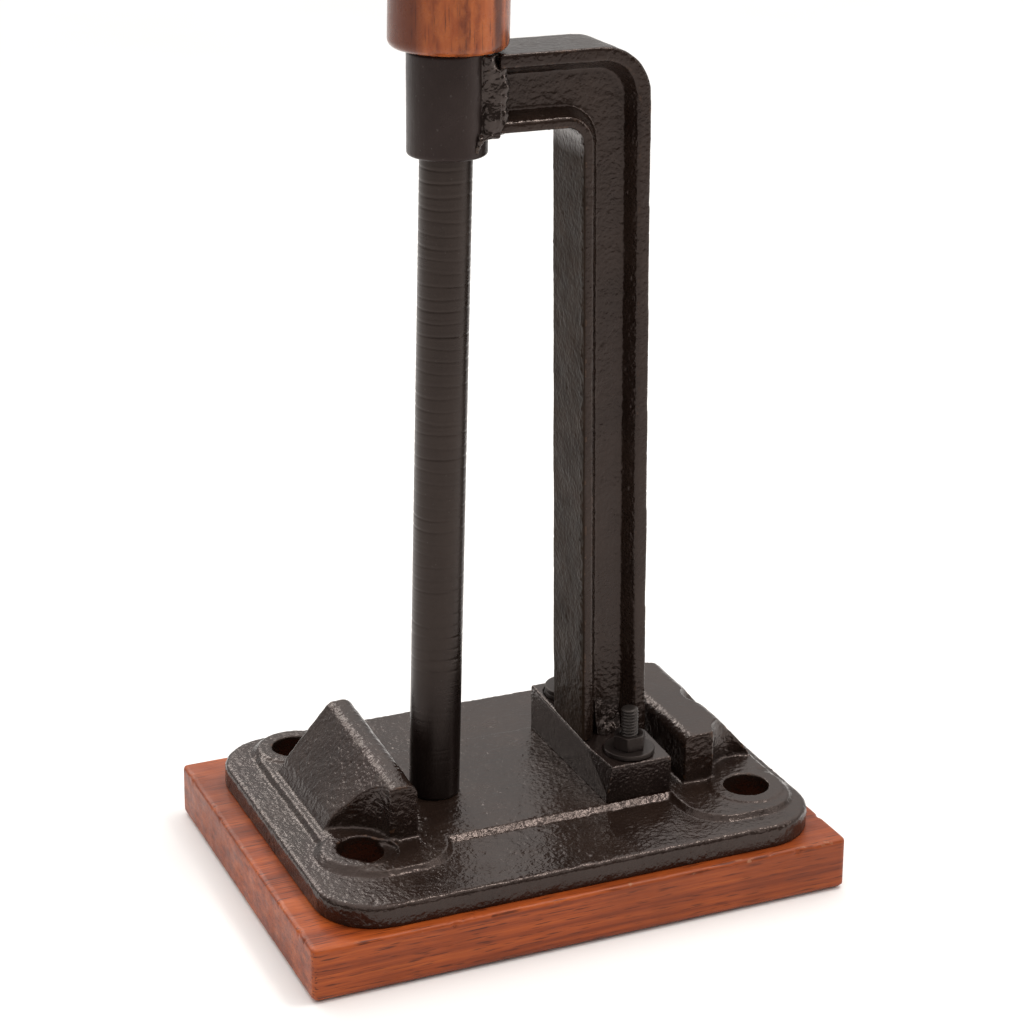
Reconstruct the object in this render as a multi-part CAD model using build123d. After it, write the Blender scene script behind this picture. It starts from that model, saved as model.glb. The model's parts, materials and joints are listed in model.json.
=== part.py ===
from build123d import *
import math
import os

# Drop-ram nutcracker: a cast rail chair on a wooden board, a cast I-section
# crank arm welded to a bolted foot bar, a tube guide welded to the arm, and a
# round ram with a turned wooden handle that is lifted and dropped.
# Frame: X along the board's long edge, Y to the back, Z up, origin at the
# centre of the board's underside.  All lengths in mm.

os.makedirs("parts", exist_ok=True)

# ---------------------------------------------------------------- dimensions
YC = 2.0                      # centre plane of chair seat, arm, guide and ram

# The numbers below are in a working frame; OX, OY, OZ carry every piece to the
# row frame, whose origin is the centre of the board's underside.
OX, OY, OZ = 0.0, -2.25, -1.0
BOARD_L = 320.0
BOARD_Y0, BOARD_Y1 = -115.5, 120.0
BOARD_Z0, BOARD_Z1 = 1.0, 32.0
BOARD_CORNER_R = 3.0
BOARD_BOTTOM_CHAMFER = 2.6
BOARD_TOP_CHAMFER = 0.6

PLATE_X, PLATE_Y = 3.75, 2.05  # chair centre on the board
PLATE_L, PLATE_W = 296.6, 220.9
PLATE_R = 35.0
RIM_T = 13.0                  # outer flange height
RIM_FILLET = 3.0
PAD_Z = 48.0                  # raised pads at the two ends, round the fastening holes
PAD_LEFT = (-124.5, -60.0, -76.0, 98.5)
PAD_RIGHT = (80.0, 144.5, -92.0, 98.5)
PAD_R = 24.0
SEAT_Z = 48.0
SEAT_X0, SEAT_X1 = -73.6, 91.4
SEAT_HALF = 54.0
BOSS_Z = 49.0
BOSS_R_TOP, BOSS_R_BASE = 21.0, 27.0
SPIKE_HOLE_R = 13.0
SPIKE_HOLES = [(-108.5, -48.0), (123.0, -63.0), (-101.0, 85.0), (121.0, 72.0)]

LUG_Y0, LUG_Y1 = -47.0, 58.0
LEFT_LUG_Z0, LEFT_LUG_Z1 = 80.0, 87.4     # crest height, front and rear end
RIGHT_LUG_Z0, RIGHT_LUG_Z1 = 77.5, 80.0
LEFT_TOE, RIGHT_TOE = 49.0, 55.0
LEFT_CREST_W, RIGHT_CREST_W = 4.5, 18.0     # flat on top of each crest
CREST_R = 7.0
POCKET_R = 22.0               # spanner pocket cut into each lug by a hole

BLOCK_X0, BLOCK_X1 = 39.5, 80.5
BLOCK_HALF = 54.0
BLOCK_H0, BLOCK_H1 = 21.7, 28.0   # the bar is a wedge: low at the front, high at the rear
BLOCK_CHAMFER = 1.0

BOLTS = [(60.6, -36.2), (57.5, 39.5)]
SPOT_Z = [70.2, 74.4]         # flat seats cut in the wedge for the washers
SPOT_R = 15.6
FLAT_WASHERS = [1, 2]         # the rear bolt carries two
BOLT_TOPS = [97.0, 101.0]
BOLT_R = 5.0
BOLT_AF = 17.0
BOLT_HEAD_H = 6.4
CLEAR_R = 5.5
CBORE_R, CBORE_D = 13.0, 9.0
UNDER_WASHER_R, UNDER_WASHER_T = 12.0, 2.0
FLAT_WASHER_R, FLAT_WASHER_T = 14.6, 2.8
NUT_H = 8.4
NUT_BORE_R = 5.05

ARM_X0, ARM_X1 = 39.6, 79.4
ARM_LEAN = 0.0135             # the upright leans a little towards the ram as it rises
ARM_DEPTH = 42.6
ARM_TOP_Z = 477.0
ARM_BEAM_H = 42.6
ARM_OUTER_R, ARM_INNER_R = 29.0, 10.0
POCKET_DEPTH = 10.0
POCKET_TAPER = 28.0
FLANGE_IN, FLANGE_OUT = 5.4, 7.2

RAM_X = -36.3                 # axis of the guide
RAM_R = 14.57
GUIDE_R = 21.95
GUIDE_BORE_R = 15.3           # loose: the ram leans in it until it touches both ends
RAM_SLOPE = 0.02105           # the ram leans 1.2 degrees, its foot away from the arm
GUIDE_Z0, GUIDE_Z1 = 421.5, 478.0
GUIDE_EDGE_R = 1.6

HANDLE_R = 32.5
HANDLE_Z0, HANDLE_Z1 = 478.8, 668.0
HANDLE_BOTTOM_R, HANDLE_TOP_R = 5.0, 9.0
RAM_Z0, RAM_TOP_Z = 48.22, 608.0
HANDLE_BORE_R = 14.62
HB_CBORE_R = 12.0
HB_SEAT_Z = 640.0
HB_WASHER_R, HB_WASHER_T = 11.0, 2.5
PLUG_Z0 = 652.0

PLATE_Z = BOARD_Z1
RIM_Z = PLATE_Z + RIM_T
BLOCK_TOP = SEAT_Z + BLOCK_H0
ARM_Y0, ARM_Y1 = YC - ARM_DEPTH / 2, YC + ARM_DEPTH / 2


def save(shape, name):
    shape = Pos(OX, OY, OZ) * shape
    if len(shape.solids()) > 1:
        shape = Compound(children=[Solid(s.wrapped) for s in shape.solids()])
    shape.label = name
    export_step(shape, "parts/" + name + ".step")


def lean(shape):
    """Turns a ram piece about the middle of the guide onto the ram's leaning axis."""
    pz = (GUIDE_Z0 + GUIDE_Z1) / 2
    a = math.degrees(math.atan(RAM_SLOPE))
    return Pos(RAM_X, YC, pz) * Rot(0, a, 0) * Pos(-RAM_X, -YC, -pz) * shape


def cyl(x, y, z0, z1, r):
    return Pos(x, y, (z0 + z1) / 2) * Cylinder(r, z1 - z0)


def box(x0, x1, y0, y1, z0, z1):
    return Pos((x0 + x1) / 2, (y0 + y1) / 2, (z0 + z1) / 2) * Box(x1 - x0, y1 - y0, z1 - z0)


def ring(x, y, z0, z1, r_out, r_in):
    return cyl(x, y, z0, z1, r_out) - cyl(x, y, z0 - 1, z1 + 1, r_in)


def hexagon(x, y, z0, z1, af):
    body = extrude(Pos(x, y, z0) * RegularPolygon(af / 2, 6, major_radius=False), z1 - z0)
    # corners rounded off by the turned chamfer of a real nut or bolt head
    r = af / math.sqrt(3)
    turned = Pos(x, y, (z0 + z1) / 2) * Cylinder(r + 0.05, z1 - z0)
    turned = chamfer(turned.edges().filter_by(GeomType.CIRCLE), 0.9)
    return body & turned


def group(solids):
    return Compound([s.solid() for s in solids])


# ------------------------------------------------------------------- board
board = box(-BOARD_L / 2, BOARD_L / 2, BOARD_Y0, BOARD_Y1, BOARD_Z0, BOARD_Z1)
board = fillet(board.edges().filter_by(Axis.Z), BOARD_CORNER_R)
board = chamfer(board.faces().sort_by(Axis.Z)[0].edges(), BOARD_BOTTOM_CHAMFER)
board = chamfer(board.faces().sort_by(Axis.Z)[-1].edges(), BOARD_TOP_CHAMFER)
for bx, by in BOLTS:
    board -= cyl(bx, by, -1, BOARD_Z1 + 1, CLEAR_R)
    board -= cyl(bx, by, -1, BOARD_Z0 + CBORE_D, CBORE_R)
save(board, "base_board")


# ------------------------------------------------------------- rail chair
def lug_face(y, xi, sign, zt, toe, flat, z0):
    """Hooked lug section: upright inner wall, rounded crest, sloped back."""
    a = math.radians(50)
    r = CREST_R

    def p(dx, z):
        return (xi - sign * dx, y, z)

    c1 = (r, zt - r)
    c2 = (r + flat, zt - r)
    e1 = Line(p(0, z0), p(0, zt - r))
    e2 = ThreePointArc(p(0, zt - r), p(c1[0] - r * math.cos(math.pi / 4), c1[1] + r * math.sin(math.pi / 4)), p(r, zt))
    e3 = Line(p(r, zt), p(r + flat, zt))
    m = (c2[0] + r * math.sin(a / 2), c2[1] + r * math.cos(a / 2))
    q = (c2[0] + r * math.sin(a), c2[1] + r * math.cos(a))
    e4 = ThreePointArc(p(r + flat, zt), p(*m), p(*q))
    e5 = Line(p(*q), p(toe - 7.0, 56.0))
    e6 = Line(p(toe - 7.0, 56.0), p(toe, z0))
    e7 = Line(p(toe, z0), p(0, z0))
    return make_face([e1, e2, e3, e4, e5, e6, e7])


def lug(xi, sign, zf, zr, toe, flat):
    z0 = RIM_Z - 1.0
    return loft([lug_face(LUG_Y0, xi, sign, zf, toe, flat, z0), lug_face(LUG_Y1, xi, sign, zr, toe, flat, z0)], ruled=True)


slab = extrude(Pos(PLATE_X, PLATE_Y, PLATE_Z) * RectangleRounded(PLATE_L, PLATE_W, PLATE_R), RIM_T)
slab = fillet(slab.faces().sort_by(Axis.Z)[-1].edges(), RIM_FILLET)
plate = slab
for x0, x1, y0, y1 in (PAD_LEFT, PAD_RIGHT):
    foot = Pos((x0 + x1) / 2, (y0 + y1) / 2, RIM_Z - 1) * RectangleRounded(x1 - x0 + 7, y1 - y0 + 7, PAD_R + 3.5)
    plate += extrude(foot, PAD_Z - RIM_Z + 1, taper=41)
# seat with a sloped front and rear edge, between the pads
seat = make_face(Polyline((SEAT_X0 - 30, YC - SEAT_HALF - 6, RIM_Z - 1), (SEAT_X0 - 30, YC - SEAT_HALF, SEAT_Z),
                          (SEAT_X0 - 30, YC + SEAT_HALF, SEAT_Z), (SEAT_X0 - 30, YC + SEAT_HALF + 6, RIM_Z - 1),
                          (SEAT_X0 - 30, YC - SEAT_HALF - 6, RIM_Z - 1)))
plate += extrude(seat, SEAT_X1 - SEAT_X0 + 55, dir=(1, 0, 0))
plate += lug(SEAT_X0, 1, LEFT_LUG_Z0, LEFT_LUG_Z1, LEFT_TOE, LEFT_CREST_W)
plate += lug(SEAT_X1, -1, RIGHT_LUG_Z0, RIGHT_LUG_Z1, RIGHT_TOE, RIGHT_CREST_W)
for hx, hy in SPIKE_HOLES:
    plate += Pos(hx, hy, (RIM_Z - 1 + BOSS_Z) / 2) * Cone(BOSS_R_BASE, BOSS_R_TOP, BOSS_Z - RIM_Z + 1)
# pockets that clear each fastening hole out of the lugs
for px, py, pr in ((-112.0, -46.0, POCKET_R), (-118.5, -44.5, POCKET_R + 1.0), (131.6, -50.0, POCKET_R),
                   (-108.0, 84.0, POCKET_R + 2), (128.0, 76.0, POCKET_R + 6)):
    plate -= cyl(px, py, BOSS_Z, 120, pr)
plate -= cyl(130.5, 2.0, 63.0, 120, 15.5)      # notch halfway along the right lug
plate -= cyl(-102.0, -54.5, SEAT_Z - 1.6, 120, SPIKE_HOLE_R)
for hx, hy in SPIKE_HOLES:
    plate -= cyl(hx, hy, 0, 120, SPIKE_HOLE_R)
for bx, by in BOLTS:
    plate -= cyl(bx, by, 0, 120, CLEAR_R)
# the lugs never overhang the flange
keep = extrude(Pos(PLATE_X, PLATE_Y, PLATE_Z) * RectangleRounded(PLATE_L, PLATE_W, PLATE_R), 80)
plate = plate & keep
save(plate, "base_plate")

# ---------------------------------------------------------------- foot bar
by0, by1 = YC - BLOCK_HALF, YC + BLOCK_HALF


def wedge(x0, x1, z_base):
    """Wedge-topped bar between two X planes."""
    side = make_face(Polyline((x0, by0, z_base), (x0, by1, z_base), (x0, by1, SEAT_Z + BLOCK_H1),
                              (x0, by0, SEAT_Z + BLOCK_H0), (x0, by0, z_base)))
    return extrude(side, x1 - x0, dir=(1, 0, 0))


block = wedge(BLOCK_X0, BLOCK_X1, SEAT_Z)
block = chamfer(block.edges().filter_by(Axis.Z) + block.faces().sort_by(Axis.Z)[-1].edges(), BLOCK_CHAMFER)
# hand-ground bevel that dies out at the arm's corner
pa, pb, pc = Vector(BLOCK_X0, ARM_Y0 - 1.0, 73.0), Vector(BLOCK_X0, by0, 52.0), Vector(BLOCK_X0 + 3.2, by0, 69.7)
n = (pb - pa).cross(pc - pa).normalized()
if n.X < 0:
    n = n * -1
block = split(block, bisect_by=Plane(origin=pa, z_dir=n), keep=Keep.TOP)
for (bx, by), zs in zip(BOLTS, SPOT_Z):
    block -= cyl(bx, by, 0, 120, CLEAR_R)
    block -= cyl(bx, by, zs, 120, SPOT_R)
save(block, "foot_block")

# --------------------------------------------------------------- crank arm
ARM_END_X = RAM_X + GUIDE_R
beam_z0 = ARM_TOP_Z - ARM_BEAM_H


def crank(off_in, off_out, off_top, off_bot, ext_end, ext_foot, y):
    """Outline of the inverted L in an XZ plane, with separate edge offsets."""
    z_top, z_bot = ARM_TOP_Z - off_top, beam_z0 + off_bot
    ro = ARM_OUTER_R - (off_out + off_top) / 2
    ri = ARM_INNER_R + (off_in + off_bot) / 2
    xe, zf = ARM_END_X - ext_end, BLOCK_TOP - ext_foot
    k = math.sqrt(0.5)

    def x_in(z):
        return ARM_X0 + off_in - ARM_LEAN * (z - 76.0)

    def x_out(z):
        return ARM_X1 - off_out - ARM_LEAN * (z - 76.0)

    xi, xo = x_in(z_bot - ri), x_out(z_top - ro)
    pts = [
        Line((xe, y, z_bot), (xi - ri, y, z_bot)),
        ThreePointArc((xi - ri, y, z_bot), (xi - ri + ri * k, y, z_bot - ri + ri * k), (xi, y, z_bot - ri)),
        Line((xi, y, z_bot - ri), (x_in(zf), y, zf)),
        Line((x_in(zf), y, zf), (x_out(zf), y, zf)),
        Line((x_out(zf), y, zf), (xo, y, z_top - ro)),
        ThreePointArc((xo, y, z_top - ro), (xo - ro + ro * k, y, z_top - ro + ro * k), (xo - ro, y, z_top)),
        Line((xo - ro, y, z_top), (xe, y, z_top)),
        Line((xe, y, z_top), (xe, y, z_bot)),
    ]
    return make_face(pts)


arm = extrude(crank(0, 0, 0, 0, 0, 0, ARM_Y0), ARM_DEPTH, dir=(0, 1, 0))
draft = POCKET_DEPTH * math.tan(math.radians(POCKET_TAPER))
for y_face, y_floor in ((ARM_Y0, ARM_Y0 + POCKET_DEPTH), (ARM_Y1, ARM_Y1 - POCKET_DEPTH)):
    outer = crank(FLANGE_IN, FLANGE_OUT, 7.2, 5.4, 6, 6, y_face)
    inner = crank(FLANGE_IN + draft, FLANGE_OUT + draft, 7.2 + draft, 5.4 + draft, 6, 6, y_floor)
    arm -= loft([outer, inner], ruled=True)
arm -= wedge(ARM_X0 - 5, ARM_X1 + 5, 0)      # foot dressed to the wedge
save(arm, "arm")

# weld metal run up the web at the foot, front and rear
def foot_bead(y_web, sgn, rise):
    x0, x1 = ARM_X0 + FLANGE_IN + 5.7, ARM_X1 - FLANGE_OUT - 5.7
    z = BLOCK_TOP - 0.5
    tri = make_face(Polyline((x0, y_web, z), (x0, y_web + sgn * 6.2, z), (x0, y_web + sgn * 4.6, z + 7.0),
                             (x0, y_web + sgn * 2.0, z + 12.0), (x0, y_web + sgn * 0.9, z + rise), (x0, y_web, z + rise + 1.5),
                             (x0, y_web, z)))
    return extrude(tri, x1 - x0, dir=(1, 0, 0)) - wedge(x0 - 5, x1 + 5, 0)


save(group([foot_bead(ARM_Y0 + POCKET_DEPTH, -1, 32.0), foot_bead(ARM_Y1 - POCKET_DEPTH, 1, 18.0)]), "foot_weld")

# ------------------------------------------------------------- guide sleeve
sleeve = cyl(RAM_X, YC, GUIDE_Z0, GUIDE_Z1, GUIDE_R)
sleeve = fillet(sleeve.edges().filter_by(GeomType.CIRCLE), GUIDE_EDGE_R)
sleeve -= cyl(RAM_X, YC, GUIDE_Z0 - 1, GUIDE_Z1 + 1, GUIDE_BORE_R)
save(sleeve, "guide_sleeve")

# weld metal filling the gap between the flat end of the arm and the round sleeve
weld = box(RAM_X + 9.5, ARM_END_X, ARM_Y0 - 0.8, ARM_Y1 + 0.8, beam_z0 - 2.5, ARM_TOP_Z - 0.4)
weld = chamfer(weld.edges().filter_by(Axis.X), 2.0)
weld -= cyl(RAM_X, YC, GUIDE_Z0 - 5, GUIDE_Z1 + 5, GUIDE_R)
weld_solids = sorted(weld.solids(), key=lambda s: s.center().Y)
save(group(weld_solids), "sleeve_weld")

# ----------------------------------------------------------------- the ram
ram = cyl(RAM_X, YC, RAM_Z0, RAM_TOP_Z, RAM_R)
ram = chamfer(ram.edges().filter_by(GeomType.CIRCLE), 1.0)
ram -= cyl(RAM_X, YC, 566.0, RAM_TOP_Z + 1, BOLT_R + 0.05)
save(lean(ram), "ram_rod")

handle = cyl(RAM_X, YC, HANDLE_Z0, HANDLE_Z1, HANDLE_R)
circ = handle.edges().filter_by(GeomType.CIRCLE).sort_by(Axis.Z)
handle = fillet(circ[0:1], HANDLE_BOTTOM_R)
circ = handle.edges().filter_by(GeomType.CIRCLE).sort_by(Axis.Z)
handle = fillet(circ[-1:], HANDLE_TOP_R)
handle -= cyl(RAM_X, YC, HANDLE_Z0 - 1, RAM_TOP_Z + 0.5, HANDLE_BORE_R)
handle -= cyl(RAM_X, YC, RAM_TOP_Z, HB_SEAT_Z + 1, CLEAR_R)
handle -= cyl(RAM_X, YC, HB_SEAT_Z, HANDLE_Z1 + 1, HB_CBORE_R)
save(lean(handle), "handle")

plug = cyl(RAM_X, YC, PLUG_Z0, HANDLE_Z1, HB_CBORE_R - 0.02)
save(lean(plug), "handle_plug")
save(lean(ring(RAM_X, YC, HB_SEAT_Z, HB_SEAT_Z + HB_WASHER_T, HB_WASHER_R, CLEAR_R)), "handle_washer")
hb_z = HB_SEAT_Z + HB_WASHER_T
hbolt = hexagon(RAM_X, YC, hb_z, hb_z + BOLT_HEAD_H, BOLT_AF) + cyl(RAM_X, YC, 572.0, hb_z + 1, BOLT_R)
save(lean(hbolt), "handle_bolt")

# --------------------------------------------------- bolts through the foot
z_w0 = BOARD_Z0 + CBORE_D - UNDER_WASHER_T
z_h0 = z_w0 - BOLT_HEAD_H
fb, uw, fw, nt = [], [], [], []
for (bx, by), zs, count, top in zip(BOLTS, SPOT_Z, FLAT_WASHERS, BOLT_TOPS):
    b = hexagon(bx, by, z_h0, z_w0, BOLT_AF) + cyl(bx, by, z_w0 - 1, top, BOLT_R)
    b = chamfer(b.faces().sort_by(Axis.Z)[-1].edges(), 0.8)
    fb.append(b)
    uw.append(ring(bx, by, z_w0, BOARD_Z0 + CBORE_D, UNDER_WASHER_R, CLEAR_R))
    z = zs
    for _ in range(count):
        fw.append(ring(bx, by, z, z + FLAT_WASHER_T, FLAT_WASHER_R, CLEAR_R))
        z += FLAT_WASHER_T
    nt.append(hexagon(bx, by, z, z + NUT_H, BOLT_AF) - cyl(bx, by, z - 1, z + NUT_H + 1, NUT_BORE_R))
save(group(fb), "foot_bolts")
save(group(uw), "foot_bolt_washers")
save(group(fw), "foot_flat_washers")
save(group(nt), "foot_nuts")
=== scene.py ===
import json
import math
import bmesh
import bpy
import numpy as np
from mathutils import Matrix, Vector
from mathutils.kdtree import KDTree


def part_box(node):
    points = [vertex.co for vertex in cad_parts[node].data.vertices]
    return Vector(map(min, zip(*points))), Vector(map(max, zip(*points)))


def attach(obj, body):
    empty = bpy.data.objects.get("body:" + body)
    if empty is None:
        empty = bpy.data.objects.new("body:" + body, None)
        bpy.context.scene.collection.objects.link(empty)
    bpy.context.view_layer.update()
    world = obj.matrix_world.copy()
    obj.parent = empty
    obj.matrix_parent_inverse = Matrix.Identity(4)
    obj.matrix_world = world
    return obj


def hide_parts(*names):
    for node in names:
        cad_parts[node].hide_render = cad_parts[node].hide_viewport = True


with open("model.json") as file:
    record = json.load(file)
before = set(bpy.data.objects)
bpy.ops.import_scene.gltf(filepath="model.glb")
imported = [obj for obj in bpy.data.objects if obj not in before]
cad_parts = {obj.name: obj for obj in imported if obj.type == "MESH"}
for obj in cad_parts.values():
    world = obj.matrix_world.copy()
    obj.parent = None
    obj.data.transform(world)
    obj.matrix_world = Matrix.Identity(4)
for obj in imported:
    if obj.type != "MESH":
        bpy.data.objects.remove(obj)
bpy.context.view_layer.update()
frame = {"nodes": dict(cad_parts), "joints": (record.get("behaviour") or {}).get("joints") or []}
MM = 0.001
scene = bpy.context.scene


def box(node):
    a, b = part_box(node)
    return np.array(a) * 1000.0, np.array(b) * 1000.0


# places read from the frame, in mm
PLATE0, PLATE1 = box("base_plate")
BLOCK0, BLOCK1 = box("foot_block")
ARM0, ARM1 = box("arm")
SLEEVE0, SLEEVE1 = box("guide_sleeve")
ROD0, ROD1 = box("ram_rod")
HANDLE0, HANDLE1 = box("handle")
PLUG0, PLUG1 = box("handle_plug")
BOARD0, BOARD1 = box("base_board")
AX = (SLEEVE0[0] + SLEEVE1[0]) / 2      # axis of the guide
AY = (SLEEVE0[1] + SLEEVE1[1]) / 2
PZ = (SLEEVE0[2] + SLEEVE1[2]) / 2      # the ram leans about this height
SEAT_Z = ROD0[2]
slide = np.array(frame["joints"][0]["axis"], float)
slide = slide / np.linalg.norm(slide)
SIN, COS = slide[0], slide[2]


def lean(p):
    """Points of an upright ram piece, turned onto the slide's axis."""
    q = np.array(p, float)
    dx, dz = q[:, 0] - AX, q[:, 2] - PZ
    q[:, 0] = AX + dx * COS + dz * SIN
    q[:, 2] = PZ - dx * SIN + dz * COS
    return q


def lean_mesh(me, lo, hi):
    set_coords(me, np.clip(lean(coords(me)), lo, hi))
    return me

# ------------------------------------------------------------------ noise


def vnoise(p, scale, seed):
    """Smooth value noise, -1 to 1, on points p in mm."""
    n = 32
    lat = np.random.RandomState(seed).rand(n, n, n).astype(np.float32) * 2 - 1
    q = np.asarray(p, np.float64) / np.asarray(scale, np.float64) + seed * 0.37
    i = np.floor(q).astype(np.int64)
    f = q - i
    f = f * f * (3 - 2 * f)
    i0, i1 = i % n, (i + 1) % n
    x0, y0, z0 = i0.T
    x1, y1, z1 = i1.T
    fx, fy, fz = f.T
    a = lat[x0, y0, z0] * (1 - fx) + lat[x1, y0, z0] * fx
    b = lat[x0, y1, z0] * (1 - fx) + lat[x1, y1, z0] * fx
    c = lat[x0, y0, z1] * (1 - fx) + lat[x1, y0, z1] * fx
    d = lat[x0, y1, z1] * (1 - fx) + lat[x1, y1, z1] * fx
    return (a * (1 - fy) + b * fy) * (1 - fz) + (c * (1 - fy) + d * fy) * fz


def fbm(p, scale, seed, octaves=4, gain=0.5):
    out, amp, tot = 0.0, 1.0, 0.0
    sc = np.asarray(scale, np.float64)
    for k in range(octaves):
        out = out + amp * vnoise(p, sc, seed + 11 * k)
        tot += amp
        amp *= gain
        sc = sc / 2.03
    return out / tot


def sstep(a, b, x):
    t = np.clip((x - a) / (b - a), 0, 1)
    return t * t * (3 - 2 * t)


# ---------------------------------------------------------- mesh helpers


def link(name, me):
    o = bpy.data.objects.new(name, me)
    scene.collection.objects.link(o)
    return o


def coords(me):
    a = np.empty(len(me.vertices) * 3, np.float32)
    me.vertices.foreach_get("co", a)
    return a.reshape(-1, 3).astype(np.float64) * 1000.0


def set_coords(me, p):
    me.vertices.foreach_set("co", (p / 1000.0).astype(np.float32).ravel())
    me.update()


def normals(me):
    a = np.empty(len(me.vertices) * 3, np.float32)
    me.vertex_normals.foreach_get("vector", a)
    return a.reshape(-1, 3).astype(np.float64)


def edges(me):
    a = np.empty(len(me.edges) * 2, np.int32)
    me.edges.foreach_get("vertices", a)
    return a.reshape(-1, 2)


def lap(p, e, deg):
    out = np.empty_like(p)
    for k in range(p.shape[1]):
        s = np.bincount(e[:, 0], p[e[:, 1], k], len(p)) + np.bincount(e[:, 1], p[e[:, 0], k], len(p))
        out[:, k] = s / deg
    return out - p


def degree(e, n):
    return np.maximum(np.bincount(e[:, 0], minlength=n) + np.bincount(e[:, 1], minlength=n), 1).astype(np.float64)


def smooth(me, n, lam=0.5, mu=-0.52):
    p, e = coords(me), edges(me)
    deg = degree(e, len(p))
    for _ in range(n):
        p = p + lam * lap(p, e, deg)
        if mu:
            p = p + mu * lap(p, e, deg)
    set_coords(me, p)


def remeshed(node, voxel, soft=3, extra=None):
    """A fine copy of a CAD node's mesh, with evenly spaced vertices to sculpt on."""
    me = frame["nodes"][node].data.copy()
    me.materials.clear()
    bm = bmesh.new()
    bm.from_mesh(me)
    bmesh.ops.remove_doubles(bm, verts=bm.verts, dist=2e-6)
    bmesh.ops.recalc_face_normals(bm, faces=bm.faces)
    if extra is not None:
        extra(bm)
    bm.to_mesh(me)
    bm.free()
    tmp = link("tmp_" + node, me)
    m = tmp.modifiers.new("v", "REMESH")
    m.mode = "VOXEL"
    m.voxel_size = voxel * MM * 1.0
    m.adaptivity = 0.0
    dg = bpy.context.evaluated_depsgraph_get()
    out = bpy.data.meshes.new_from_object(tmp.evaluated_get(dg))
    bpy.data.objects.remove(tmp)
    bpy.data.meshes.remove(me)
    for _ in range(1):
        smooth(out, soft, 0.5, -0.35)
    return out


def shade(me, smooth_on=True):
    me.polygons.foreach_set("use_smooth", [smooth_on] * len(me.polygons))
    me.update()


def attr(me, name, values):
    a = me.attributes.get(name) or me.attributes.new(name, "FLOAT", "POINT")
    a.data.foreach_set("value", np.asarray(values, np.float32))


def convexity(me, rounds=3):
    """How far each vertex stands proud of its neighbours, smoothed: positive on edges."""
    p, e = coords(me), edges(me)
    deg = degree(e, len(p))
    n = normals(me)
    c = -(lap(p, e, deg) * n).sum(1)
    c = c[:, None]
    for _ in range(rounds):
        c = c + 0.6 * lap(c, e, deg)
    return c[:, 0]


def dents(p, seed, count, rad, depth, where=None, power=1.0):
    """Depth at each vertex of a scatter of round pits (negative depth: grains)."""
    rs = np.random.RandomState(seed)
    pool = np.arange(len(p)) if where is None else np.nonzero(where)[0]
    out = np.zeros(len(p))
    if not len(pool):
        return out
    centres = p[pool[rs.randint(0, len(pool), count)]]
    radii = rad[0] + (rad[1] - rad[0]) * rs.rand(count) ** 2
    deps = depth[0] + (depth[1] - depth[0]) * rs.rand(count)
    kd = KDTree(len(p))
    for i, v in enumerate(p):
        kd.insert(v, i)
    kd.balance()
    for c, r, d in zip(centres, radii, deps):
        for _, i, dist in kd.find_range(c, r):
            t = 1 - (dist / r) ** 2
            out[i] = max(out[i], d * t ** power) if d > 0 else min(out[i], d * t ** power)
    return out


def keep_in(p, lo, hi, gap=0.0):
    return np.clip(p, np.array(lo) + gap, np.array(hi) - gap)


def fillets(pts, radii, seg=5):
    """Polyline with its corners rounded. pts are (r, z); the ends stay as they are when open."""
    out = []
    n = len(pts)
    for i, (pt, r) in enumerate(zip(pts, radii)):
        if r <= 0:
            out.append(pt)
            continue
        a, b, c = np.array(pts[i - 1], float), np.array(pt, float), np.array(pts[(i + 1) % n], float)
        u, v = a - b, c - b
        lu, lv = np.linalg.norm(u), np.linalg.norm(v)
        u, v = u / lu, v / lv
        ang = math.acos(max(-1, min(1, float(u @ v))))
        t = min(r / math.tan(ang / 2), lu * 0.49, lv * 0.49)
        r2 = t * math.tan(ang / 2)
        cen = b + (u + v) / np.linalg.norm(u + v) * (r2 / math.sin(ang / 2))
        p0, p1 = b + u * t, b + v * t
        a0 = math.atan2(p0[1] - cen[1], p0[0] - cen[0])
        a1 = math.atan2(p1[1] - cen[1], p1[0] - cen[0])
        d = (a1 - a0 + math.pi) % (2 * math.pi) - math.pi
        for k in range(seg + 1):
            an = a0 + d * k / seg
            out.append((cen[0] + r2 * math.cos(an), cen[1] + r2 * math.sin(an)))
    return out


def densify(pts, step, closed=False):
    out = []
    n = len(pts)
    for i in range(n if closed else n - 1):
        a, b = np.array(pts[i], float), np.array(pts[(i + 1) % n], float)
        k = max(1, int(math.ceil(np.linalg.norm(b - a) / step)))
        for j in range(k):
            out.append(tuple(a + (b - a) * j / k))
    if not closed:
        out.append(tuple(pts[-1]))
    return out


def rings_mesh(name, rows, closed):
    """rows: list of (n, 3) arrays in mm, each a loop round the axis.  closed joins the last row to the first;
    otherwise both ends are capped by a centre vertex."""
    n = len(rows[0])
    v = np.concatenate(rows)
    m = len(rows)
    faces = []
    for i in range(m if closed else m - 1):
        a, b = i * n, ((i + 1) % m) * n
        for j in range(n):
            k = (j + 1) % n
            faces.append((a + j, a + k, b + k, b + j))
    if not closed:
        v = np.concatenate([v, rows[0].mean(0)[None], rows[-1].mean(0)[None]])
        c0, c1 = m * n, m * n + 1
        for j in range(n):
            k = (j + 1) % n
            faces.append((c0, k, j))
            faces.append((c1, (m - 1) * n + j, (m - 1) * n + k))
    me = bpy.data.meshes.new(name)
    me.from_pydata([tuple(x) for x in (v / 1000.0)], [], faces)
    bm = bmesh.new()
    bm.from_mesh(me)
    bmesh.ops.recalc_face_normals(bm, faces=bm.faces)
    bm.to_mesh(me)
    bm.free()
    me.update()
    shade(me)
    return me


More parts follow.
